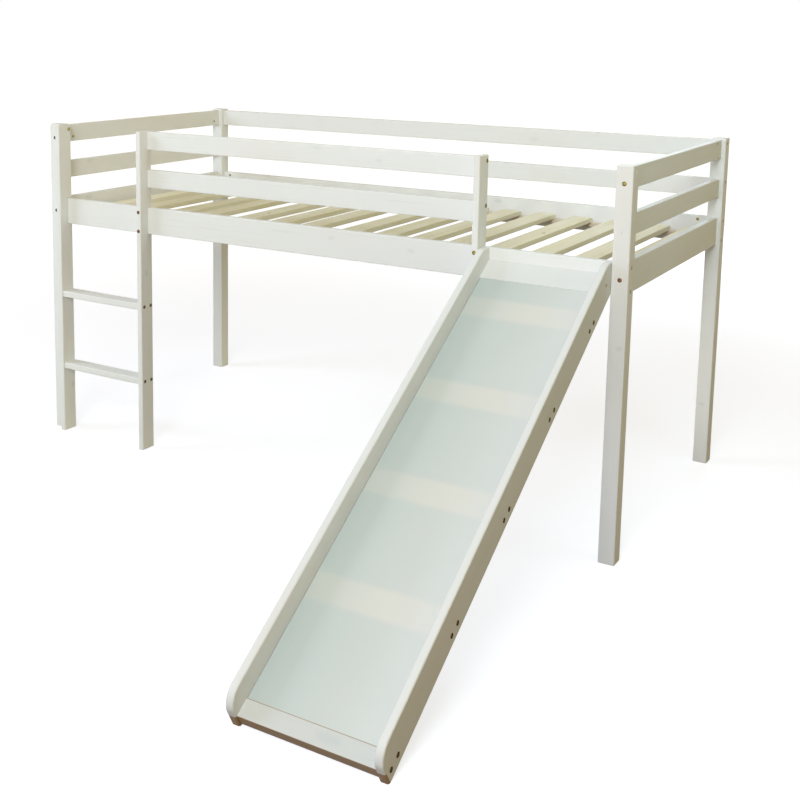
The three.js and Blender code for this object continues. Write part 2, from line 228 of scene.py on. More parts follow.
paintedLayers = {
    "fine": {"stretch": (260, 5), "seedStep": 0, "noise": (4, 0.55, 0.0), "shows": (0.52, 0.80)},
    "wide": {"stretch": (42, 1.2), "seedStep": 3, "noise": (3, 0.50, 0.6), "shows": (0.40, 0.68)},
    "patch": {"stretch": (5, 1.5), "seedStep": 7, "noise": (2, 0.50, 0.0), "shows": (0.52, 0.80)},
}

bareLayers = {
    "rings": {"stretch": (95, 1.6), "seedStep": 0, "noise": (3, 0.50, 0.8), "shows": (0.42, 0.72)},
    "fine": {"stretch": (420, 8), "seedStep": 5, "noise": (3, 0.50, 0.0)},
    "patch": {"stretch": (8, 1.5), "seedStep": 9, "noise": (2, 0.50, 0.0), "shows": (0.45, 0.75)},
}

seedSteps = (0.37, 0.61, 0.83)  # shift the pattern, so that no two boards have the same grain
roughGrain = (0.3, 0.8)


def grainLayer(tree, grain, seed, layer):
    across, along = layer["stretch"]
    offset = tuple((seed + layer["seedStep"]) * step for step in seedSteps)
    stretch = tree.nodes.new("ShaderNodeMapping")
    stretch.inputs["Scale"].default_value = (across, across, along)
    vector = objectPlace(tree, turn=grainTurns[grain], offset=offset)
    tree.links.new(vector, stretch.inputs["Vector"])
    return noise(tree, stretch.outputs["Vector"], 1.0, *layer["noise"])


def distanceFrom(tree, place, centre):
    distance = tree.nodes.new("ShaderNodeVectorMath")
    distance.operation = "DISTANCE"
    distance.inputs[1].default_value = centre
    tree.links.new(place, distance.inputs[0])
    return distance.outputs["Value"]


slideHeelY = min(v.co.y + v.co.z * math.tan(slideTilt) for v in nodes["slide_lip"].data.vertices)


# A slide piece's ends and faces, measured up the slope from the heel and out from its plane

def slopeSpan(name):
    along = []
    above = []
    for vertex in nodes[name].data.vertices:
        y = vertex.co.y - slideHeelY
        along.append(y * math.cos(slideTilt) + vertex.co.z * math.sin(slideTilt))
        above.append(vertex.co.z * math.cos(slideTilt) - y * math.sin(slideTilt))
    return {"start": min(along), "end": max(along), "bottom": min(above), "top": max(above)}


def alongSlope(tree):
    axes = objectAxes(tree)
    fromHeel = calculate(tree, "SUBTRACT", axes["Y"], slideHeelY)
    level = calculate(tree, "MULTIPLY", fromHeel, math.cos(slideTilt))
    rise = calculate(tree, "MULTIPLY", axes["Z"], math.sin(slideTilt))
    return calculate(tree, "ADD", level, rise)


# Knots that show on the boards: middle, half length along X, Y and Z, and how strongly they show

knots = {
    "post_front_right": [
        ((1.0241, 0.1097, 0.609), (0.013, 0.009, 0.010), 0.45),
        ((1.0166, 0.1097, 0.920), (0.0022, 0.009, 0.0030), 1.0),
    ],
    "post_back_right": [((1.0108, 1.0527, 0.204), (0.016, 0.009, 0.009), 0.35)],
    "rail_right_top": [
        ((1.0265, 1.0044, 1.087), (0.006, 0.022, 0.010), 0.95),
        ((1.0265, 1.0155, 1.040), (0.006, 0.014, 0.006), 0.80),
    ],
    "rail_left_main": [((-1.0065, 0.263, 0.825), (0.006, 0.030, 0.012), 0.45)],
    "rail_left_middle": [((-1.0065, 0.274, 0.957), (0.006, 0.024, 0.012), 0.35)],
    "ladder_stile_right": [((-0.6092, 0.112, 0.617), (0.006, 0.013, 0.020), 0.50)],
    "ladder_stile_left": [((-0.9737, 0.1295, 0.162), (0.006, 0.009, 0.013), 0.65)],
    "guard_rail_top": [
        ((0.059, 0.123, 1.084), (0.026, 0.009, 0.007), 0.30),
        ((0.275, 0.123, 1.060), (0.018, 0.009, 0.009), 0.30),
    ],
    "rail_front_main": [
        ((0.113, 0.123, 0.812), (0.017, 0.009, 0.010), 0.32),
        ((0.388, 0.123, 0.802), (0.020, 0.009, 0.011), 0.36),
    ],
    "rail_back_top": [((0.374, 1.066, 1.058), (0.024, 0.009, 0.012), 0.30)],
    "rail_back_main": [((0.245, 1.066, 0.825), (0.026, 0.009, 0.010), 0.50)],
    "slide_lip": [((0.850, -1.0660, 0.042), (0.044, 0.018, 0.015), 0.50)],
    "slide_side_left": [((0.6367, -0.742, 0.279), (0.006, 0.022, 0.016), 0.25)],
    "slat_05": [((-0.358, 0.477, 0.7995), (0.009, 0.014, 0.008), 0.80)],
    "slat_12": [((0.585, 0.659, 0.7995), (0.008, 0.015, 0.008), 0.70)],
}


knotShape = {
    "wobbleScale": 160.0,
    "wobbleDetail": 2,
    "wobbleShare": 0.5,
    "edges": (1.25, 0.45),
}


def knotAt(tree, middle, reach):
    scale = tuple(1 / half for half in reach)
    offset = tuple(-where / half for where, half in zip(middle, reach))
    place = objectPlace(tree, scale=scale, offset=offset)
    uneven = noise(tree, objectPlace(tree), knotShape["wobbleScale"], knotShape["wobbleDetail"])
    wobble = calculate(tree, "MULTIPLY", uneven, knotShape["wobbleShare"])
    away = calculate(tree, "ADD", distanceFrom(tree, place, (0, 0, 0)), wobble)
    return ramp(tree, away, *knotShape["edges"])


def withKnots(tree, name, colour, knotColour):
    for middle, reach, strength in knots.get(name, []):
        shown = calculate(tree, "MULTIPLY", knotAt(tree, middle, reach), strength)
        colour = mixColour(tree, shown, colour, knotColour)
    return colour


# The lip's low end and the cut toes of the slide's side boards are painted brown. This is painted shade
# where these faces turn down toward the floor.

endShadeReach = (0.0015, 0.0005)
slideToe = {"height": 0.028, "edge": 0.0005}


def withPaintedEndShade(tree, name, colour, endShadeColour):
    start = slopeSpan(name)["start"]
    atEnd = ramp(tree, alongSlope(tree), *(start + reach for reach in endShadeReach))
    return mixColour(tree, atEnd, colour, endShadeColour)


def withPaintedToeShade(tree, colour, toeShadeColour):
    height, edge = slideToe["height"], slideToe["edge"]
    low = ramp(tree, objectAxes(tree)["Z"], height + edge, height - edge)
    ahead = ramp(tree, alongSlope(tree), *endShadeReach)
    return mixColour(tree, calculate(tree, "MULTIPLY", low, ahead), colour, toeShadeColour)


def finishWood(tree, shader, colour, fine, look):
    tree.links.new(colour, shader.inputs["Base Color"])
    roughness = ramp(tree, fine, *roughGrain, *look["roughness"])
    tree.links.new(roughness, shader.inputs["Roughness"])
    shader.inputs["Specular IOR Level"].default_value = look["gloss"]
    bump(tree, shader, fine, look["grainBump"], look["grainDepth"])


def whitewashedPine(name, grain, seed, look):
    material, tree, shader = newMaterial(f"whitewashedPine_{name}")
    layers = {kind: grainLayer(tree, grain, seed, layer) for kind, layer in paintedLayers.items()}
    fine = ramp(tree, layers["fine"], *paintedLayers["fine"]["shows"])
    wide = ramp(tree, layers["wide"], *paintedLayers["wide"]["shows"])
    patch = ramp(tree, layers["patch"], *paintedLayers["patch"]["shows"], 0, look["warmShare"])
    streak = calculate(tree, "MULTIPLY", fine, wide)
    colour = mixColour(tree, streak, look["paint"], look["thinPaint"])
    colour = mixColour(tree, patch, colour, look["warmPatch"])
    colour = withKnots(tree, name, colour, look["knot"])
    # painted shade on the piece's low end
    if "endShade" in look:
        colour = withPaintedEndShade(tree, name, colour, look["endShade"])
    # painted shade on the toes, below the lip's top edge
    if "toe" in look:
        colour = withPaintedToeShade(tree, colour, look["toe"])
    finishWood(tree, shader, colour, layers["fine"], look)
    return material


bareWood = {
    "early": (0.920, 0.885, 0.715),
    "late": (0.840, 0.770, 0.510),
    "lateShare": 0.75,
    "heart": (0.880, 0.810, 0.570),
    "heartShare": 0.5,
    "knot": (0.300, 0.150, 0.055),
    "roughness": (0.55, 0.72),
    "gloss": 0.12,
    "grainBump": 0.25,
    "grainDepth": 0.0005,
}


def barePine(name, grain, seed, look):
    material, tree, shader = newMaterial(f"barePine_{name}")
    layers = {kind: grainLayer(tree, grain, seed, layer) for kind, layer in bareLayers.items()}
    rings = ramp(tree, layers["rings"], *bareLayers["rings"]["shows"], 0, look["lateShare"])
    patch = ramp(tree, layers["patch"], *bareLayers["patch"]["shows"], 0, look["heartShare"])
    colour = mixColour(tree, rings, look["early"], look["late"])
    colour = mixColour(tree, patch, colour, look["heart"])
    colour = withKnots(tree, name, colour, look["knot"])
    finishWood(tree, shader, colour, layers["fine"], look)
    return material


# The slide's sheet is a thin satin plastic. The cross supports show through the real one, so it is
# creamier over them. It is painted darker toward its left board, a painted shadow of that board, and
# lighter toward its right board, painted light thrown back by that board. Its seams are dark lines.

sheetLook = {
    "open": (0.546, 0.583, 0.550),
    "overWood": (0.640, 0.628, 0.567),
    "cloud": (0.610, 0.630, 0.590),
    "cloudScale": 6.0,
    "cloudDetail": 2,
    "cloudShows": (0.35, 0.80),
    "cloudShare": 0.25,
    # painted shadow of the left board on the sheet
    "leftShade": (0.340, 0.460, 0.480),
    "leftReach": 0.20,
    "leftShare": 0.35,
    # painted light: light thrown back onto the sheet by the right board
    "rightReflectedLight": (0.683, 0.690, 0.665),
    "rightReach": 0.19,
    "rightShare": 0.50,
    "edgeBlur": 0.010,
    "joint": (0.400, 0.310, 0.220),
    "jointWidth": 0.0022,
    "seam": (0.370, 0.385, 0.360),
    "seamWidth": 0.0040,
    "darkestShare": 1 / 3,
    "roughness": 0.24,
    "gloss": 0.5,
}


def overSupports(tree, along):
    blur = sheetLook["edgeBlur"]
    covered = None
    for name in sorted(nodes):
        if not name.startswith("slide_support_"):
            continue
        span = slopeSpan(name)
        rise = ramp(tree, along, span["start"] - blur, span["start"] + blur)
        fall = ramp(tree, along, span["end"] + blur, span["end"] - blur)
        band = calculate(tree, "MULTIPLY", rise, fall)
        covered = band if covered is None else calculate(tree, "MAXIMUM", covered, band)
    return covered


def fromSides(tree):
    across = objectAxes(tree)["X"]
    low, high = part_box("slide_panel")
    fromLeft = calculate(tree, "SUBTRACT", across, low.x)
    fromRight = calculate(tree, "SUBTRACT", high.x, across)
    return fromLeft, fromRight


# Painted shadow toward the left board and painted light toward the right board
def shadedAcross(tree, colour, fromLeft, fromRight):
    left = ramp(tree, fromLeft, 0, sheetLook["leftReach"], sheetLook["leftShare"], 0)
    colour = mixColour(tree, left, colour, sheetLook["leftShade"])
    right = ramp(tree, fromRight, 0, sheetLook["rightReach"], sheetLook["rightShare"], 0)
    return mixColour(tree, right, colour, sheetLook["rightReflectedLight"])


def alongSides(tree, fromLeft, fromRight):
    fromSide = calculate(tree, "MINIMUM", fromLeft, fromRight)
    width = sheetLook["seamWidth"]
    return ramp(tree, fromSide, width, width * sheetLook["darkestShare"])


def atLowEnd(tree, along):
    start = slopeSpan("slide_panel")["start"]
    width = sheetLook["jointWidth"]
    return ramp(tree, along, start + width, start + width * sheetLook["darkestShare"])


def slideSheet():
    material, tree, shader = newMaterial("slideSheet")
    along = alongSlope(tree)
    colour = mixColour(tree, overSupports(tree, along), sheetLook["open"], sheetLook["overWood"])
    cloud = noise(tree, objectPlace(tree), sheetLook["cloudScale"], sheetLook["cloudDetail"])
    cloudy = ramp(tree, cloud, *sheetLook["cloudShows"], 0, sheetLook["cloudShare"])
    colour = mixColour(tree, cloudy, colour, sheetLook["cloud"])
    fromLeft, fromRight = fromSides(tree)
    colour = shadedAcross(tree, colour, fromLeft, fromRight)
    colour = mixColour(tree, atLowEnd(tree, along), colour, sheetLook["joint"])
    colour = mixColour(tree, alongSides(tree, fromLeft, fromRight), colour, sheetLook["seam"])
    tree.links.new(colour, shader.inputs["Base Color"])
    shader.inputs["Roughness"].default_value = sheetLook["roughness"]
    shader.inputs["Specular IOR Level"].default_value = sheetLook["gloss"]
    return material


def boardGrain(name):
    if name.startswith(("post_", "guard_post", "ladder_stile_")):
        return "z"
    if name.startswith(("rail_left_", "rail_right_", "slat_")):
        return "y"
    if name.startswith("slide_side_"):
        return "slope"
    return "x"


boardPaints = {
    "slide_lip": lipPaint,
    "slide_header": headerPaint,
    "slide_side_left": slideSidePaint,
    "slide_side_right": slideSidePaint,
    "ledger_front": ledgerShadePaint,
    "ledger_back": ledgerShadePaint,
}


def finishBoards():
    for seed, name in enumerate(sorted(nodes)):
        board = nodes[name]
        grain = boardGrain(name)
        if name == "slide_panel":
            finish = slideSheet()
        elif name.startswith("slat_"):
            finish = barePine(name, grain, seed, bareWood)
        else:
            finish = whitewashedPine(name, grain, seed, boardPaints.get(name, whitewash))
        board.data.materials.clear()
        board.data.materials.append(finish)


finishBoards()
print("boards have their wood, the slide its sheet")


# Modelling helpers: pieces are shaped with Blender's own tools and end in object mode

sameHeight = 1e-5
softEdgeAngle = math.radians(35)


def makeActive(piece):
    deselectAll()
    piece.select_set(True)
    bpy.context.view_layer.objects.active = piece


# The test gets a face's centre and normal, or each end of an edge, which both have to pass.

def selectWhere(piece, kind, test):
    bpy.ops.object.mode_set(mode="OBJECT")
    mesh = piece.data
    for group in (mesh.vertices, mesh.edges, mesh.polygons):
        group.foreach_set("select", [False] * len(group))
    if kind == "FACE":
        for face in mesh.polygons:
            face.select = test(face.center, face.normal)
    else:
        for edge in mesh.edges:
            ends = [mesh.vertices[v].co for v in edge.vertices]
            edge.select = all(test(end) for end in ends)
            for v in edge.vertices:
                mesh.vertices[v].select = mesh.vertices[v].select or edge.select
    bpy.ops.object.mode_set(mode="EDIT")
    bpy.ops.mesh.select_mode(type=kind)


# A thin lath with a rounded nose covers the header and the sheet's upper end

coverLath = {
    "lowEnd": 1.3620,
    "thickness": 0.0030,
    "noseWidth": 0.0022,
    "noseSegments": 5,
    "cutAllowance": 0.02,
}


def layOnSlope(bar):
    slope = Matrix.Translation((0, slideHeelY, 0)) @ Matrix.Rotation(slideTilt, 4, "X")
    bar.data.transform(slope)
    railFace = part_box("rail_front_main")[0]
    bpy.ops.object.mode_set(mode="EDIT")
    bpy.ops.mesh.select_all(action="SELECT")
    bpy.ops.mesh.bisect(plane_co=railFace, plane_no=(0, 1, 0), use_fill=True, clear_outer=True)
    bpy.ops.object.mode_set(mode="OBJECT")


def makeCoverLath(sizes):
    low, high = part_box("slide_header")
    bottom = slopeSpan("slide_panel")["top"]
    top = bottom + sizes["thickness"]
    start = sizes["lowEnd"]
    length = slopeSpan("slide_header")["end"] + sizes["cutAllowance"] - start
    deselectAll()
    bpy.ops.mesh.primitive_cube_add(
        size=1, location=((low.x + high.x) / 2, start + length / 2, (bottom + top) / 2)
    )
    lath = bpy.context.object
    lath.name = "slide_cover_lath"
    lath.scale = (high.x - low.x, length, sizes["thickness"])
    bpy.ops.object.transform_apply(location=True, rotation=True, scale=True)

    def onNose(end):
        return end.y < start + sameHeight and end.z > top - sameHeight

    selectWhere(lath, "EDGE", onNose)
    bpy.ops.mesh.bevel(offset=sizes["noseWidth"], segments=sizes["noseSegments"], affect="EDGES")
    bpy.ops.object.mode_set(mode="OBJECT")
    layOnSlope(lath)
    bpy.ops.object.shade_smooth_by_angle(angle=softEdgeAngle)
    lath.data.materials.append(whitewashedPine(lath.name, "x", len(nodes), headerPaint))
    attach(lath, "root")


makeCoverLath(coverLath)
print("lath lies over the sheet's upper end")


# Fasteners: round heads with hexagon sockets, sunk in holes lined with raw wood painted near black, as
# painted shade in the hole and in a thin ring around its mouth, barrel nuts in the rails, and caps on
# some holes of the front posts

boltHead = {
    "radius": 0.0045,
    "thickness": 0.0036,
    "sunk": 0.0005,
    "dome": 0.0016,
    "socketAcross": 0.0034,
    "socketDepth": 0.0022,
    # The lining is a dark tube of painted shade in the hole. Standing a little proud, it also paints a
    # dark ring around the head.
    "liningOuter": 0.0060,
    "liningWall": 0.0013,
    "liningRise": 0.0002,
    "liningDepth": 0.0046,
    "sides": 32,
    "rimSegments": 5,
}

# On the bed's outermost faces nothing stands proud, so this lining ends below the surface.
sideBoltHead = {
    **boltHead,
    "radius": 0.0050,
    "sunk": 0.0002,
    "liningOuter": 0.00545,
    "liningWall": 0.0004,
    "liningRise": -0.0001,
}

slideScrewHead = {
    "radius": 0.0043,
    "thickness": 0.0026,
    "sunk": 0.0011,
    "dome": 0.0016,
    "socketAcross": 0.0024,
    "socketDepth": 0.0012,
    "liningOuter": 0.0063,
    "liningWall": 0.0019,
    "liningRise": 0.0002,
    "liningDepth": 0.0037,
    "sides": 32,
    "rimSegments": 5,
}

barrelNut = {
    "radius": 0.0048,
    "length": 0.0100,
    "sunk": 0.0003,
    "dome": 0.0005,
    "slotWidth": 0.0014,
    "slotDepth": 0.0012,
    "slotTurns": {"end": 0.6, "side": 0.9, "slide": 0.4},
    "sides": 32,
    "rimSegments": 5,
}

holeCap = {
    "radius": 0.0052,
    "thickness": 0.0030,
    "sunk": 0.0006,
    "crown": 0.0004,
    "crownStepShare": 0.25,
    "insetShare": 0.35,
    "softEdgeAngle": math.radians(50),
    "sides": 32,
}

# Each lining colour is raw wood painted near black: painted shade in the hole.
fastenerLooks = {
    "brassBolt": {"metal": (0.50, 0.40, 0.10), "shadeLining": (0.11, 0.08, 0.02)},
    "goldBolt": {"metal": (0.78, 0.66, 0.16), "shadeLining": (0.12, 0.09, 0.02)},
    "sideBolt": {"metal": (0.30, 0.24, 0.06), "shadeLining": (0.07, 0.05, 0.02)},
    "copperBolt": {"metal": (0.38, 0.18, 0.11), "shadeLining": (0.11, 0.03, 0.01)},
    "darkBolt": {"metal": (0.10, 0.10, 0.08), "shadeLining": (0.05, 0.05, 0.04)},
    "bronzeBolt": {"metal": (0.28, 0.18, 0.05), "shadeLining": (0.035, 0.015, 0.005)},
    "bronzeScrew": {"metal": (0.36, 0.23, 0.07), "shadeLining": (0.040, 0.018, 0.006)},
    "oliveScrew": {"metal": (0.34, 0.27, 0.07), "shadeLining": (0.09, 0.07, 0.02)},
    "barrelNut": {"metal": (0.38, 0.30, 0.08)},
    "paleCap": {"plastic": (0.84, 0.85, 0.81)},
}

brushedMetal = {
    "stretch": (1, 1, 6),
    "scratchScale": 900.0,
    "scratchDetail": 3,
    "scratchShows": (0.35, 0.70),
    "scratchTone": 0.72,
    "roughShows": (0.30, 0.75),
    "roughness": (0.26, 0.48),
    "bump": 0.15,
    "bumpDepth": 0.0001,
}

# Raw wood fibres for the hole linings, whose near-black colour is painted shade
holeShadeFibres = {
    "fibreScale": 1500.0,
    "fibreDetail": 3,
    "fibreTone": 1.5,
    "roughness": 0.8,
    "gloss": 0.1,
    "bump": 0.3,
    "bumpDepth": 0.0002,
}

palePlastic = {
    "mottleScale": 700.0,
    "mottleDetail": 2,
    "mottleTone": 0.86,
    "roughShows": (0.30, 0.70),
    "roughness": (0.42, 0.60),
}


def toned(colour, tone):
    return tuple(min(1.0, channel * tone) for channel in colour)


def metal(name, colour):
    material, tree, shader = newMaterial(name)
    place = objectPlace(tree, scale=brushedMetal["stretch"])
    scratches = noise(tree, place, brushedMetal["scratchScale"], brushedMetal["scratchDetail"])
    scratched = ramp(tree, scratches, *brushedMetal["scratchShows"])
    tone = mixColour(tree, scratched, colour, toned(colour, brushedMetal["scratchTone"]))
    tree.links.new(tone, shader.inputs["Base Color"])
    rough = ramp(tree, scratches, *brushedMetal["roughShows"], *brushedMetal["roughness"])
    tree.links.new(rough, shader.inputs["Roughness"])
    shader.inputs["Metallic"].default_value = 1.0
    bump(tree, shader, scratches, brushedMetal["bump"], brushedMetal["bumpDepth"])
    return material


# The hole's lining: raw wood fibres in a near-black colour, painted shade in the hole
def holeShadeWood(name, colour):
    material, tree, shader = newMaterial(name)
    fibres = noise(tree, objectPlace(tree), holeShadeFibres["fibreScale"], holeShadeFibres["fibreDetail"])
    tone = mixColour(tree, fibres, colour, toned(colour, holeShadeFibres["fibreTone"]))
    tree.links.new(tone, shader.inputs["Base Color"])
    shader.inputs["Roughness"].default_value = holeShadeFibres["roughness"]
    shader.inputs["Specular IOR Level"].default_value = holeShadeFibres["gloss"]
    bump(tree, shader, fibres, holeShadeFibres["bump"], holeShadeFibres["bumpDepth"])
    return material


def capPlastic(name, colour):
    material, tree, shader = newMaterial(name)
    mottle = noise(tree, objectPlace(tree), palePlastic["mottleScale"], palePlastic["mottleDetail"])
    tone = mixColour(tree, mottle, colour, toned(colour, palePlastic["mottleTone"]))
    tree.links.new(tone, shader.inputs["Base Color"])
    rough = ramp(tree, mottle, *palePlastic["roughShows"], *palePlastic["roughness"])
    tree.links.new(rough, shader.inputs["Roughness"])
    return material


def roundRim(piece, rimHeight, sizes):
    def onRim(point):
        atTop = abs(point.z - rimHeight) < sameHeight
        return atTop and point.xy.length > sizes["radius"] - sameHeight

    selectWhere(piece, "EDGE", onRim)
    bpy.ops.mesh.bevel(offset=sizes["dome"], segments=sizes["rimSegments"], affect="EDGES")
    bpy.ops.object.mode_set(mode="OBJECT")


def cutWith(piece, cutter):
    makeActive(piece)
    modifier = piece.modifiers.new("cut", "BOOLEAN")
    modifier.operation = "DIFFERENCE"
    modifier.object = cutter
    bpy.ops.object.modifier_apply(modifier=modifier.name)
    bpy.data.objects.remove(cutter)


def addRound(radius, depth, top, sides, ends="NGON"):
    deselectAll()
    bpy.ops.mesh.primitive_cylinder_add(
        vertices=sides, radius=radius, depth=depth, end_fill_type=ends,
        location=(0, 0, top - depth / 2)
    )
    bpy.ops.object.transform_apply(location=True, rotation=True, scale=True)
    return bpy.context.object


def addLining(sizes):
    top = sizes["liningRise"]
    depth = sizes["liningDepth"] + top
    shadeLining = addRound(sizes["liningOuter"], depth, top, sizes["sides"], ends="NOTHING")
    wall = shadeLining.modifiers.new("wall", "SOLIDIFY")
    wall.thickness = sizes["liningWall"]
    wall.offset = -1
    bpy.ops.object.modifier_apply(modifier=wall.name)
    return shadeLining


def joinPieces(name, first, second):
    makeActive(first)
    second.select_set(True)
    bpy.ops.object.join()
    bpy.ops.object.shade_smooth_by_angle(angle=softEdgeAngle)
    first.name = name
    return first


socketSides = 6


def makeBolt(name, sizes, look):
    top = -sizes["sunk"]
    head = addRound(sizes["radius"], sizes["thickness"], top, sizes["sides"])
    roundRim(head, top, sizes)
    cornerRadius = sizes["socketAcross"] / 2 / math.cos(math.pi / socketSides)
    depth = sizes["socketDepth"]
    cutWith(head, addRound(cornerRadius, depth * 2, top + depth, socketSides))
    head.data.materials.append(metal(f"{name}Metal", look["metal"]))
    shadeLining = addLining(sizes)
    shadeLining.data.materials.append(holeShadeWood(f"{name}Hole", look["shadeLining"]))
    return joinPieces(name, head, shadeLining)


def makeNut(name, sizes, look):
    top = -sizes["sunk"]
    nut = addRound(sizes["radius"], sizes["length"], top, sizes["sides"])
    roundRim(nut, top, sizes)
    deselectAll()
    bpy.ops.mesh.primitive_cube_add(size=1, location=(0, 0, top))
    slot = bpy.context.object
    slotLength = sizes["radius"] * 3  # runs out past both edges
    slot.scale = (sizes["slotWidth"], slotLength, sizes["slotDepth"] * 2)
    cutWith(nut, slot)
    nut.data.materials.append(metal(f"{name}Metal", look["metal"]))
    makeActive(nut)
    bpy.ops.object.shade_smooth_by_angle(angle=softEdgeAngle)
    nut.name = name
    return nut


def makeCap(name, sizes, look):
    cap = addRound(sizes["radius"], sizes["thickness"], -sizes["sunk"], sizes["sides"])
    selectWhere(cap, "FACE", lambda centre, normal: normal.z > 0.5)
    for rise in (sizes["crown"], sizes["crown"] * sizes["crownStepShare"]):
        bpy.ops.mesh.inset(thickness=sizes["radius"] * sizes["insetShare"])
        bpy.ops.transform.translate(value=(0, 0, rise))
    bpy.ops.object.mode_set(mode="OBJECT")
    cap.data.materials.append(capPlastic(f"{name}Plastic", look["plastic"]))
    bpy.ops.object.shade_smooth_by_angle(angle=sizes["softEdgeAngle"])
    cap.name = name
    return cap


# Each kind is modelled once, facing up, with the hole's mouth at the origin.

fastenerShapes = {
    "brassBolt": (makeBolt, boltHead),
    "goldBolt": (makeBolt, boltHead),
    "sideBolt": (makeBolt, sideBoltHead),
    "copperBolt": (makeBolt, boltHead),
    "darkBolt": (makeBolt, boltHead),
    "bronzeBolt": (makeBolt, boltHead),
    "bronzeScrew": (makeBolt, slideScrewHead),
    "oliveScrew": (makeBolt, slideScrewHead),
    "barrelNut": (makeNut, barrelNut),
    "paleCap": (makeCap, holeCap),
}

templates = {
    kind: make(kind, sizes, fastenerLooks[kind]) for kind, (make, sizes) in fastenerShapes.items()
}

outwards = {
    "left": Vector((-1, 0, 0)),
    "right": Vector((1, 0, 0)),
    "front": Vector((0, -1, 0)),
    "back": Vector((0, 1, 0)),
}


def placeFastener(kind, name, place, side, turn=0.0):
    mesh = templates[kind].data.copy()
    facing = outwards[side].to_track_quat("Z", "Y").to_matrix().to_4x4()
    mesh.transform(Matrix.Translation(place) @ facing @ Matrix.Rotation(turn, 4, "Z"))
    piece = bpy.data.objects.new(name, mesh)
    bpy.context.collection.objects.link(piece)
    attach(piece, "root")


def facePoint(node, side, x=None, y=None, z=None):
    low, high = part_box(node)
    middle = (low + high) / 2
    place = Vector([middle[i] if given is None else given for i, given in enumerate((x, y, z))])
    if side in ("left", "right"):
        place.x = high.x if side == "right" else low.x
    else:
        place.y = high.y if side == "back" else low.y
    return place


boltHeights = {
    "endRise": 0.017,
    "sideRise": 0.048,
    "mainHalfSpacing": 0.032,
}

postBolts = {
    "post_front_right": {"top": "brassBolt", "main": "copperBolt", "upper": "paleCap"},
    "post_front_left": {"top": "darkBolt", "main": "darkBolt", "upper": "paleCap"},
    "post_back_right": {"top": "sideBolt", "main": "sideBolt", "upper": "sideBolt"},
    "post_back_left": {"top": "sideBolt", "main": "sideBolt", "upper": "sideBolt"},
}


def railBottom(name):
    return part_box(name)[0].z


def railMiddle(name):
    low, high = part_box(name)
    return (low.z + high.z) / 2


mainLevels = [railMiddle("rail_front_main") + step * boltHeights["mainHalfSpacing"] for step in (-1, 1)]
upperLevels = [railBottom(f"rail_right_{row}") + boltHeights["sideRise"] for row in ("middle", "top")]
endTopLevel = railBottom("rail_right_top") + boltHeights["endRise"]
endMainLevel = railMiddle("rail_right_main")


def addPostBolts():
    for post, kinds in postBolts.items():
        end, side = post.split("_")[1:]
        placeFastener(kinds["top"], f"{post}_bolt_top", facePoint(post, end, z=endTopLevel), end)
        placeFastener(kinds["main"], f"{post}_bolt_main", facePoint(post, end, z=endMainLevel), end)
        rows = (("upper", kinds["upper"], upperLevels), ("lower", "sideBolt", mainLevels))
        for row, kind, levels in rows:
            for i, level in enumerate(levels):
                place = facePoint(post, side, z=level)
                placeFastener(kind, f"{post}_bolt_{row}_{i + 1}", place, side)


nutInset = 0.033


def addRailNuts():
    turns = barrelNut["slotTurns"]
    for side, inner in (("left", "right"), ("right", "left")):
        for row, level in (("top", endTopLevel), ("main", endMainLevel)):
            rail = f"rail_{side}_{row}"
            low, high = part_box(rail)
            for end, y in (("front", low.y + nutInset), ("back", high.y - nutInset)):
                place = facePoint(rail, inner, y=y, z=level)
                placeFastener("barrelNut", f"{rail}_nut_{end}", place, inner, turns["end"])
    for end, inner in (("front", "back"), ("back", "front")):
        rail = f"rail_{end}_main"
        low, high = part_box(rail)
        for side, x in (("left", low.x + nutInset), ("right", high.x - nutInset)):
            for i, level in enumerate(mainLevels):
                name = f"{rail}_nut_{side}_{i + 1}"
                place = facePoint(rail, inner, x=x, z=level)
                placeFastener("barrelNut", name, place, inner, turns["side"])


rungBoltHalfSpacing = 0.0165


def addUprightBolts():
    low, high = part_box("guard_rail_top")
    guardY = (low.y + high.y) / 2
    for upright, kind in (("ladder_stile_right", "copperBolt"), ("guard_post", "brassBolt")):
        for i, level in enumerate(mainLevels):
            place = facePoint(upright, "front", z=level)
            placeFastener(kind, f"{upright}_bolt_main_{i + 1}", place, "front")
    for upright, side in (("ladder_stile_right", "left"), ("guard_post", "right")):
        for i, level in enumerate(upperLevels):
            place = facePoint(upright, side, y=guardY, z=level)
            placeFastener("brassBolt", f"{upright}_bolt_guard_{i + 1}", place, side)
    place = facePoint("ladder_stile_left", "right", y=guardY, z=upperLevels[-1])
    placeFastener("goldBolt", "ladder_stile_left_bolt_top", place, "right")


def addRungBolts():
    for rung in ("ladder_rung_1", "ladder_rung_2"):
        low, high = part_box(rung)
        y = (low.y + high.y) / 2
        z = (low.z + high.z) / 2
        for stile, side in (("ladder_stile_left", "left"), ("ladder_stile_right", "right")):
            for i, step in enumerate((-1, 1)):
                place = facePoint(stile, side, y=y + step * rungBoltHalfSpacing, z=z)
                placeFastener("bronzeBolt", f"{rung}_bolt_{side}_{i + 1}", place, side)


slideFasteners = {
    "halfSpacing": 0.016,
    "lipRow": 0.032,
    "supports": 4,
    "firstOliveRow": 3,
    "nutBelowTop": 0.056,
    "nutFromRail": 0.046,
}


def slopePoint(x, along, above):
    return Vector((
        x,
        slideHeelY + along * math.cos(slideTilt) - above * math.sin(slideTilt),
        along * math.sin(slideTilt) + above * math.cos(slideTilt),
    ))


def screwRows():
    spans = [slopeSpan(f"slide_support_{i + 1}") for i in range(slideFasteners["supports"])]
    above = (spans[0]["bottom"] + spans[0]["top"]) / 2
    middles = [(span["start"] + span["end"]) / 2 for span in spans]
    return [slideFasteners["lipRow"]] + middles, above


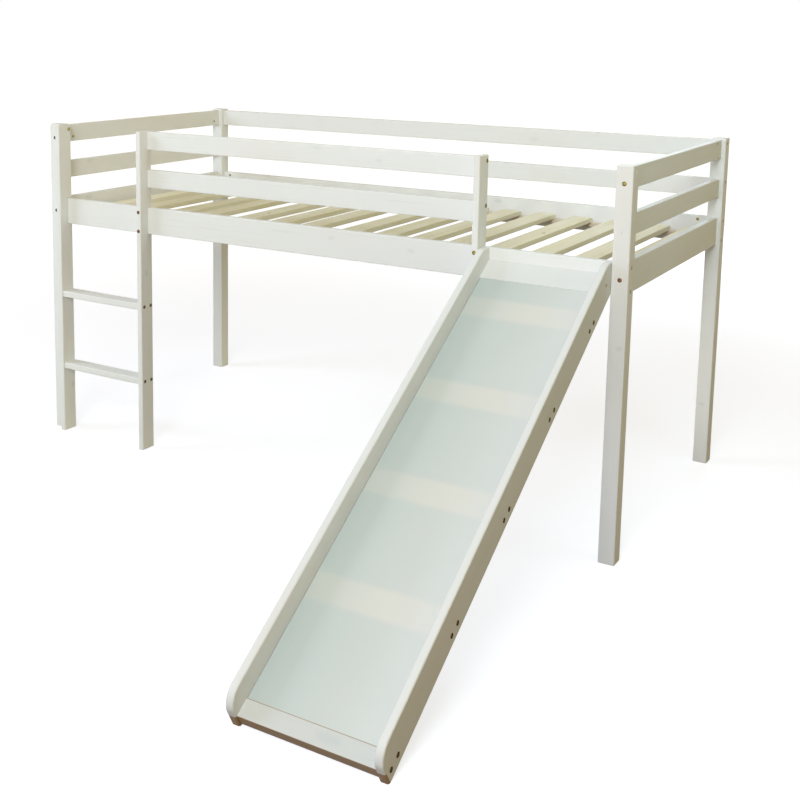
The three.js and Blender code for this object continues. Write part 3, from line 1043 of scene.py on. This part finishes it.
def addSlideScrews():
    rows, above = screwRows()
    for side in ("left", "right"):
        board = f"slide_side_{side}"
        x = facePoint(board, side).x
        for row, along in enumerate(rows):
            kind = "oliveScrew" if row >= slideFasteners["firstOliveRow"] else "bronzeScrew"
            for i, step in enumerate((-1, 1)):
                place = slopePoint(x, along + step * slideFasteners["halfSpacing"], above)
                placeFastener(kind, f"{board}_screw_{row}_{i + 1}", place, side)
        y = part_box("rail_front_main")[0].y - slideFasteners["nutFromRail"]
        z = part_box("rail_front_main")[1].z - slideFasteners["nutBelowTop"]
        turn = barrelNut["slotTurns"]["slide"]
        placeFastener("barrelNut", f"{board}_nut", facePoint(board, side, y=y, z=z), side, turn)


addPostBolts()
addRailNuts()
addUprightBolts()
addRungBolts()
addSlideScrews()
for template in templates.values():
    bpy.data.objects.remove(template)
print("bolts, nuts, screws and caps are in their holes")


# Studio: a pale floor, a white room and soft lamps

studio = {
    "floorSize": 60,
    "floorSeen": (0.44, 0.45, 0.51),  # this and the glow add up to white where no shadow falls
    "nearGlow": 0.71,
    "farGlow": 1.0,
    "glowReach": (2.0, 7.0),
    "bounceNear": (0.10, 0.06, 0.03),  # what the floor throws back up at the bed
    "bounceFar": (0.75, 0.74, 0.62),
    "bounceCentre": (1.35, -0.10, 0.0),
    "bounceReach": (1.2, 2.7),
    "roomLeft": (0.0, 0.0, 0.0),
    "roomRight": (0.490, 0.355, 0.088),
}

wholeSpread = 180

# Power is in watts. The low lamp's narrow beam reaches the back right post alone, which would
# stand in the slats' shadow.
lamps = [
    {"name": "leftLamp", "place": (-5.0, -2.5, 3.4), "target": (0, 0, 0.5), "size": 2.6,
     "power": 176, "colour": (0.711, 0.810, 1.0)},
    {"name": "nearLamp", "place": (1.6, -4.6, 3.0), "target": (0.2, -0.2, 0.5), "size": 1.8,
     "power": 182, "colour": (0.858, 0.919, 1.0)},
    {"name": "frontLamp", "place": (-0.9, -2.4, 3.2), "target": (0.6, -0.3, 0.4), "size": 0.9,
     "power": 9, "colour": (1.0, 1.0, 1.0)},
    {"name": "rightLamp", "place": (2.0, 0.2, 2.5), "target": (1.0, 0.2, 0.7), "size": 0.8,
     "power": 7.3, "colour": (0.516, 0.874, 1.0)},
    {"name": "topLamp", "place": (0.95, 0.1, 2.7), "target": (0, 0.2, 0.8), "size": 1.0,
     "power": 5.4, "colour": (0.89, 0.94, 1.0)},
    {"name": "backLamp", "place": (0.2, 5.8, 1.7), "target": (0, 0.4, 0.7), "size": 2.6,
     "power": 80, "colour": (0.72, 0.84, 1.0)},
    {"name": "lowLamp", "place": (-0.45, 0.22, 0.32), "target": (1.016, 1.06, 0.27), "size": 0.3,
     "power": 0.6, "colour": (1.0, 1.0, 0.97), "spread": 34},
]


def seenDirectly(tree):
    rays = tree.nodes.new("ShaderNodeLightPath").outputs
    mirrored = calculate(tree, "MAXIMUM", rays["Is Glossy Ray"], rays["Is Transmission Ray"])
    return calculate(tree, "MAXIMUM", rays["Is Camera Ray"], mirrored)


def makeRoom():
    world = bpy.data.worlds.new("whiteRoom")
    bpy.context.scene.world = world
    world.use_nodes = True
    tree = world.node_tree
    tree.nodes.clear()
    output = tree.nodes.new("ShaderNodeOutputWorld")
    ambient = tree.nodes.new("ShaderNodeBackground")
    direction = tree.nodes.new("ShaderNodeTexCoord")
    parts = tree.nodes.new("ShaderNodeSeparateXYZ")
    tree.links.new(direction.outputs["Generated"], parts.inputs["Vector"])
    toTheRight = calculate(tree, "MULTIPLY_ADD", parts.outputs["X"], 0.5, 0.5)  # 0 left, 1 right
    glow = mixColour(tree, toTheRight, studio["roomLeft"], studio["roomRight"])
    tree.links.new(glow, ambient.inputs["Color"])
    backdrop = tree.nodes.new("ShaderNodeBackground")
    backdrop.inputs["Color"].default_value = (1, 1, 1, 1)
    backdrop.inputs["Strength"].default_value = 1
    mix = tree.nodes.new("ShaderNodeMixShader")
    tree.links.new(seenDirectly(tree), mix.inputs["Fac"])
    tree.links.new(ambient.outputs["Background"], mix.inputs[1])
    tree.links.new(backdrop.outputs["Background"], mix.inputs[2])
    tree.links.new(mix.outputs["Shader"], output.inputs["Surface"])


def floorMaterial():
    material = bpy.data.materials.new("paleFloor")
    material.use_nodes = True
    tree = material.node_tree
    tree.nodes.clear()
    output = tree.nodes.new("ShaderNodeOutputMaterial")
    seen = seenDirectly(tree)
    diffuse = tree.nodes.new("ShaderNodeBsdfDiffuse")
    place = tree.nodes.new("ShaderNodeTexCoord").outputs["Object"]
    around = ramp(tree, distanceFrom(tree, place, studio["bounceCentre"]), *studio["bounceReach"])
    bounce = mixColour(tree, around, studio["bounceNear"], studio["bounceFar"])
    colour = mixColour(tree, seen, bounce, studio["floorSeen"])
    tree.links.new(colour, diffuse.inputs["Color"])
    glow = tree.nodes.new("ShaderNodeEmission")
    glow.inputs["Color"].default_value = (1, 1, 1, 1)
    distance = distanceFrom(tree, place, (0, 0, 0))
    glowHere = ramp(tree, distance, *studio["glowReach"], studio["nearGlow"], studio["farGlow"])
    strength = calculate(tree, "MULTIPLY", seen, glowHere)
    tree.links.new(strength, glow.inputs["Strength"])
    both = tree.nodes.new("ShaderNodeAddShader")
    tree.links.new(diffuse.outputs["BSDF"], both.inputs[0])
    tree.links.new(glow.outputs["Emission"], both.inputs[1])
    tree.links.new(both.outputs["Shader"], output.inputs["Surface"])
    return material


def makeFloor():
    deselectAll()
    bpy.ops.mesh.primitive_plane_add(size=studio["floorSize"], location=(0, 0, 0))
    floor = bpy.context.object
    floor.name = "floor"
    floor.data.materials.append(floorMaterial())


def addLamp(settings):
    deselectAll()
    place = Vector(settings["place"])
    facing = (Vector(settings["target"]) - place).to_track_quat("-Z", "Y")
    bpy.ops.object.light_add(type="AREA", location=place, rotation=facing.to_euler())
    lamp = bpy.context.object
    lamp.name = settings["name"]
    lamp.data.shape = "SQUARE"
    lamp.data.size = settings["size"]
    lamp.data.energy = settings["power"]
    lamp.data.color = settings["colour"]
    lamp.data.spread = math.radians(settings.get("spread", wholeSpread))
    lamp.visible_camera = False


makeRoom()
makeFloor()
for lampSettings in lamps:
    addLamp(lampSettings)
bpy.context.scene.view_settings.view_transform = "Standard"
print("floor, room and lamps are set")
